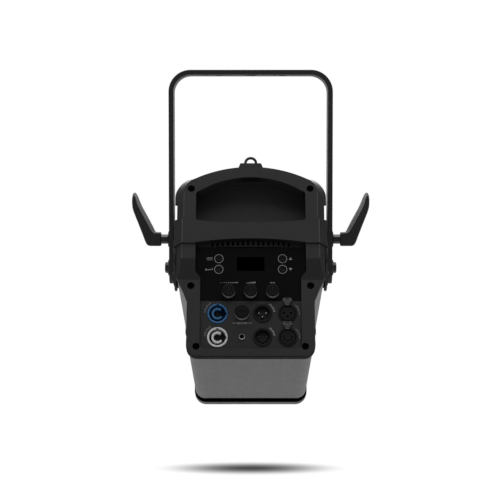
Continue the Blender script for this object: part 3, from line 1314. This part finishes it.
WALL, GROOVE = 2.5, 0.9
SHUTTERS = (("top", 0, 228.0), ("right", 90, 233.0), ("bottom", 180, 238.0), ("left", 270, 243.0))
BARREL = [
    (50.6, 203.9), (50.6, 207.0), (BARREL_R - WALL, 207.0), (BARREL_R - WALL, 259.6),
    (FRONT_R - WALL, 267.6), (FRONT_R - WALL, 335), (FRONT_R, 335), (FRONT_R, 331.8),
    (FRONT_R - GROOVE, 331.2), (FRONT_R - GROOVE, 329.6), (FRONT_R, 329.0), (FRONT_R, 275.0),
    (FRONT_R - GROOVE, 274.4), (FRONT_R - GROOVE, 272.6), (FRONT_R, 272.0), (FRONT_R, 267.0),
    (FRONT_R - 1.2, 264.8), (BARREL_R + 1.0, 258.6), (BARREL_R, 256.6), (BARREL_R, 224.1),
    (BARREL_R - GROOVE, 223.6), (BARREL_R - GROOVE, 222.1), (BARREL_R, 221.6),
    (BARREL_R, 203.9),
]
steps = [
    ("cut", swung(block((-8.5, y - 1.6, OPT_Z + 50), (8.5, y + 1.6, OPT_Z + 66)), degrees))
    for _, degrees, y in SHUTTERS
]
steps.append(("cut", block((-33, 212, OPT_Z + 40), (33, 220, OPT_Z + 70))))
steps.append(("cut", block((-3.6, 284, OPT_Z - 80), (3.6, 326, OPT_Z - 60))))
for x in (-22, 22):
    ear = block((x - 1.6, 206.5, OPT_Z + 50.5), (x + 1.6, 211.0, OPT_Z + 64.5), 0.5, segments=2)
    steps.append(("join", ear))
barrel = combine(turned(BARREL, "Y", OPT, 96, closed=True), *steps, dissolve=0.2)
add("barrel_body", barrel, PAINT, "shutter_barrel", bevel=0.3, angle=40,
    replaces="shutter_barrel")

BARREL_SCREW = [(0, 0.9), (1.2, 0.9), (1.2, 1.9), (2.4, 1.7), (3.2, 0.9), (3.2, 0), (0, 0)]
heads = [
    swung(turned(BARREL_SCREW, "Z", (0, y, OPT_Z + BARREL_R - 0.2), 24), degrees)
    for degrees in range(45, 360, 90) for y in (214.5, 252.0)
]
add("barrel_screws", merged(heads), ZINC, "shutter_barrel")

# turning scale in front of the gate ring: short raised lines
ticks = []
for k in range(-5, 6):
    end_y = 204.6 + (2.6 if k % 5 == 0 else 1.6)
    tick = block((-0.2, 204.6, OPT_Z + BARREL_R - 0.1), (0.2, end_y, OPT_Z + BARREL_R + 0.06))
    ticks.append(swung(tick, 50 + k * 4))
add("barrel_scale", merged(ticks), PRINT, "shutter_barrel")

# a shutter blade: x, and distance out from the optical axis
BLADE = [
    (-33, 31), (33, 31), (33, 39), (21, 49.5), (7.5, 49.5), (7.5, 84), (-7.5, 84),
    (-7.5, 49.5), (-21, 49.5), (-33, 39),
]
for name, degrees, y in SHUTTERS:
    shutter = "shutter_" + name
    blade = flat([placed(0, OPT_Z, BLADE)], "Y", y - 0.6, y + 0.6)
    add("shutter_blade_" + name, swung(blade, degrees), STEEL, shutter,
        bevel=0.15, steps=1, replaces=shutter)
    grip = combine(
        flat([rounded(-11, OPT_Z + 81.2, 11, OPT_Z + 91, 3.0, 6)], "Y", y - 3.5, y + 3.5),
        *[
            ("cut", rod(0.8, "X", -8.2, 8.2, (0, y + way * 3.9, OPT_Z + rise), 16))
            for rise in (83.8, 86.1, 88.4) for way in (-1, 1)
        ],
    )
    add("shutter_grip_" + name, swung(grip, degrees), GRIP, shutter, bevel=0.9,
        steps=3, angle=50)

HINGE = (0, 208.6, OPT_Z + 61.8)
flap_loop = arc(0, OPT_Z, BARREL_R + 2.0, 55.5, 124.5, 40)
flap_loop += arc(0, OPT_Z, BARREL_R + 0.5, 124.5, 55.5, 40)
flap = combine(
    flat([flap_loop], "Y", 211.6, 221.0),
    ("join", rod(1.8, "X", -19.9, 19.9, HINGE, 28)),
    ("join", block((-15, 207.9, OPT_Z + 59.0), (15, 213.0, OPT_Z + 61.5), 0.3)),
)
add("gobo_flap", triangulated(flap), PAINT, "gobo_slot_cover", bevel=0.25,
    angle=45, replaces="gobo_slot_cover")

# ---- lens tube --------------------------------------------------------------
BORE_R, STOP_R = TUBE_R - 2.2, 66.1  # the tube's bore and the lenses' edge
KNOB_Y = 304
tube_shape = [(TUBE_R, 278), (TUBE_R, 338.5)]
for k in range(9):  # grip rings
    y = 340.0 + k * 3.2
    tube_shape += [
        (TUBE_R, y), (TUBE_R - 0.9, y + 0.5), (TUBE_R - 0.9, y + 1.5), (TUBE_R, y + 2.0),
    ]
tube_shape += [
    (TUBE_R, 428), (BORE_R, 428), (BORE_R, 412), (TUBE_R - 6, 412), (TUBE_R - 6, 409),
    (BORE_R, 409), (BORE_R, 297), (TUBE_R - 8, 297), (TUBE_R - 8, 294), (BORE_R, 294),
    (BORE_R, 278),
]
tube = combine(
    turned(tube_shape[::-1], "Y", OPT, 96, closed=True),
    ("cut", rod(3.5, "Z", OPT_Z - 75, OPT_Z - 60, (0, KNOB_Y, 0), 28)),
    dissolve=0,
)
add("tube_body", tube, PAINT, "lens_tube", sharp=30, replaces="lens_tube")

marks = []
for k in range(14):
    half = (5.0 if k % 5 == 0 else 3.0) / 2
    y = 372 + k * 3.0
    mark = block((-half, y - 0.18, OPT_Z + TUBE_R - 0.15), (half, y + 0.18, OPT_Z + TUBE_R + 0.04))
    marks.append(swung(mark, 62))
add("focus_scale", merged(marks), PRINT_DIM, "lens_tube")

front_lens = [(STOP_R * k / 18, 415.2 + 8.3 * (1 - (k / 18) ** 2)) for k in range(19)]
front_lens += [(STOP_R, 412.4), (0, 412.4)]
add("front_glass", turned(front_lens, "Y", OPT, 96), GLASS, "lens_tube",
    sharp=50, replaces="front_lens")
rear_lens = [(0, 293.7), (STOP_R, 293.7), (STOP_R, 291.0)]
rear_lens += [
    (STOP_R * (1 - k / 18), 291.0 - 8.0 * (1 - (1 - k / 18) ** 2)) for k in range(1, 19)
]
add("rear_glass", turned(rear_lens, "Y", OPT, 96), GLASS, "lens_tube",
    sharp=50, replaces="rear_lens")
RETAINER = [(62.8, 418.2), (62.8, 419.8), (63.6, 420.6), (66.6, 420.6), (66.6, 418.2)]
add("lens_retainer", turned(RETAINER, "Y", OPT, 96, closed=True), PAINT,
    "lens_tube")


def gear(x, y, radius, depth, count):
    """A round outline with count teeth."""
    pitch = 360.0 / count
    tooth = ((0, radius - depth), (0.22, radius), (0.62, radius), (0.84, radius - depth))
    return [
        polar(x, y, tooth_r, 360.0 * k / count + share * pitch)
        for k in range(count) for share, tooth_r in tooth
    ]


# turned profiles: radius, height from the optical axis
FOCUS_GRIP = [(0, -73), (11.0, -73), (12.2, -74.4), (12.2, -83.2), (10.6, -84.9), (0, -85)]
FOCUS_DISH = [(0, -84.2), (7.0, -84.2), (7.4, -86), (0, -86)]
stem = rod(3.1, "Z", OPT_Z - 73.5, OPT_Z - TUBE_R + 2.0, (0, KNOB_Y, 0), 32)
add("focus_stem", stem, ZINC, "focus_knob")
grip = combine(
    flat([gear(0, KNOB_Y, 12.0, 0.7, 20)], "Z", OPT_Z - 85, OPT_Z - 73),
    ("keep", turned(FOCUS_GRIP, "Z", (0, KNOB_Y, 0), 64, start=OPT_Z)),
    ("cut", turned(FOCUS_DISH, "Z", (0, KNOB_Y, 0), start=OPT_Z)),
)
add("focus_grip", grip, SOFT, "focus_knob", bevel=0.2, steps=1, angle=45,
    replaces="focus_knob")

# ---- accessory holder -------------------------------------------------------
HOLD_TOP, HOLD_LOW = OPT_Z + HOLD, OPT_Z - HOLD
base_loops = [rounded(-HOLD, HOLD_LOW, HOLD, HOLD_TOP, 8, 8), circle(0, OPT_Z, TUBE_R + 0.9, 96)]
# a lip round both sides and the lower edge: x, z
lips = [
    (HOLD, HOLD_TOP - 10), (HOLD, HOLD_LOW + 6), (HOLD - 6, HOLD_LOW), (6 - HOLD, HOLD_LOW),
    (-HOLD, HOLD_LOW + 6), (-HOLD, HOLD_TOP - 10), (11 - HOLD, HOLD_TOP - 10),
    (11 - HOLD, HOLD_LOW + 11), (HOLD - 11, HOLD_LOW + 11), (HOLD - 11, HOLD_TOP - 10),
]
steps = [
    ("join", flat([lips], "Y", 428.6, 446)),
    ("cut", block((2.2 - HOLD, 429, HOLD_LOW + 2.2), (HOLD - 2.2, 444, HOLD_TOP + 10))),
]
for x in (-16, 16):
    ear = block((x - 1.5, 421.5, HOLD_TOP - 2), (x + 1.5, 428.5, HOLD_TOP + 5.5))
    steps.append(("join", ear))
for x, z in ((64, 64), (-64, 64), (64, -64), (-64, -64)):
    steps.append(("cut", rod(2.3, "Y", 418, 432, (x, 0, OPT_Z + z), 24)))
holder = combine(flat(base_loops, "Y", 421, 429), *steps)
add("holder_plate", holder, PAINT, "lens_tube", bevel=0.4,
    replaces="accessory_holder")

CLIP_Z = HOLD_TOP + 3.2
clip = combine(
    block((-13, 424, CLIP_Z - 1.0), (13, 449.0, CLIP_Z + 1.0)),
    ("join", rod(1.9, "X", -14.2, 14.2, (0, 425, CLIP_Z), 28)),
    ("join", block((-13, 447.0, CLIP_Z - 13), (13, 449.0, CLIP_Z + 0.8))),
    ("cut", flat([rounded(-6, 430, 6, 441, 2.5, 5)], "Z", CLIP_Z - 3, CLIP_Z + 3)),
)
add("clip_leaf", clip, STEEL, "accessory_clip", bevel=0.4, angle=40,
    replaces="accessory_clip")


# ---- stage, light and camera, in metres -------------------------------------
def floor_material():
    """To the camera a soft shadow on a clear floor; to other rays a pale glow."""
    material = bpy.data.materials.new("pale_floor")
    nodes = Nodes(material, clear=True)
    spread = (1 / 0.075, 1 / 0.026, 0)  # the shadow's reach along X and Y
    place = nodes.add("TexCoord").outputs["Object"]
    place = nodes.add("Mapping", {"Vector": place, "Scale": spread}).outputs["Vector"]
    distance = nodes.add("VectorMath", {0: place}, operation="LENGTH").outputs["Value"]
    fade = nodes.remap(distance, 0.30, 1.0, span=(0.0, 1.85), interpolation_type="SMOOTHSTEP")
    clearness = nodes.maths("POWER", fade, 2.2)
    shadow = nodes.add("Emission", {"Strength": 0.0}).outputs[0]
    seen = nodes.mix(clearness, shadow, nodes.add("BsdfTransparent").outputs[0])
    glow = nodes.add("Emission", {"Strength": 0.62}).outputs[0]
    nodes.add("OutputMaterial", {"Surface": nodes.mix(nodes.camera_ray(), glow, seen)})
    return material


def studio_world():
    """White to the camera; otherwise brighter to the front and overhead."""
    world = bpy.data.worlds.new("studio")
    bpy.context.scene.world = world
    nodes = Nodes(world, clear=True)
    way = nodes.split(nodes.add("TexCoord").outputs["Generated"])
    ahead = nodes.remap(way["Y"], 0.06, 0.9, span=(-0.55, 0.5), interpolation_type="SMOOTHSTEP")
    above = nodes.remap(way["Z"], 0.0, 0.9, span=(0.15, 0.95), interpolation_type="SMOOTHSTEP")
    strength = nodes.maths("ADD", ahead, above)
    lit, white = [
        nodes.add("Background", {"Color": (1, 1, 1, 1), "Strength": level}).outputs[0]
        for level in (strength, 1.0)
    ]
    nodes.add("OutputWorld", {"Surface": nodes.mix(nodes.camera_ray(), lit, white)})


def softbox(name, place, target, size, power):
    light = bpy.data.lights.new(name, "AREA")
    light.shape = "RECTANGLE"
    light.size, light.size_y = size
    light.energy = power
    obj = loose(name, light)
    obj.location = place
    aim = Vector(target) - Vector(place)
    obj.rotation_euler = aim.to_track_quat("-Z", "Y").to_euler()


edit = bmesh.new()
bmesh.ops.create_grid(edit, x_segments=1, y_segments=1, size=12.0)
floor = loose("floor", as_mesh(edit, "floor"))
floor.location = (0, 0, -0.079)
floor.data.materials.append(floor_material())

studio_world()
softbox("overhead", place=(0, 0.5, 2.6), target=(0, 0, 0.2), size=(2.4, 2.0), power=26)
softbox("rear_key", place=(0, -1.9, 2.9), target=(0, 0, 0.25), size=(2.4, 0.9), power=9)

view = bpy.context.scene.view_settings
view.view_transform = "Standard"
view.look = "None"
view.exposure = 0.0
view.gamma = 1.0

lens = bpy.data.cameras.new("camera")
lens.lens = 100.8
lens.sensor_width = 36.0
lens.shift_x = -0.0014
lens.clip_start, lens.clip_end = 0.05, 50
camera = loose("camera", lens)
camera.location = (0, -1.91325, 0.33320)
camera.rotation_euler = (math.radians(90 - 3.3), 0, 0)
bpy.context.scene.camera = camera

for obj in bpy.data.objects:
    if obj.name in cad["nodes"]:
        obj.data.shade_smooth()
        obj.data.set_sharp_from_angle(angle=math.radians(30))
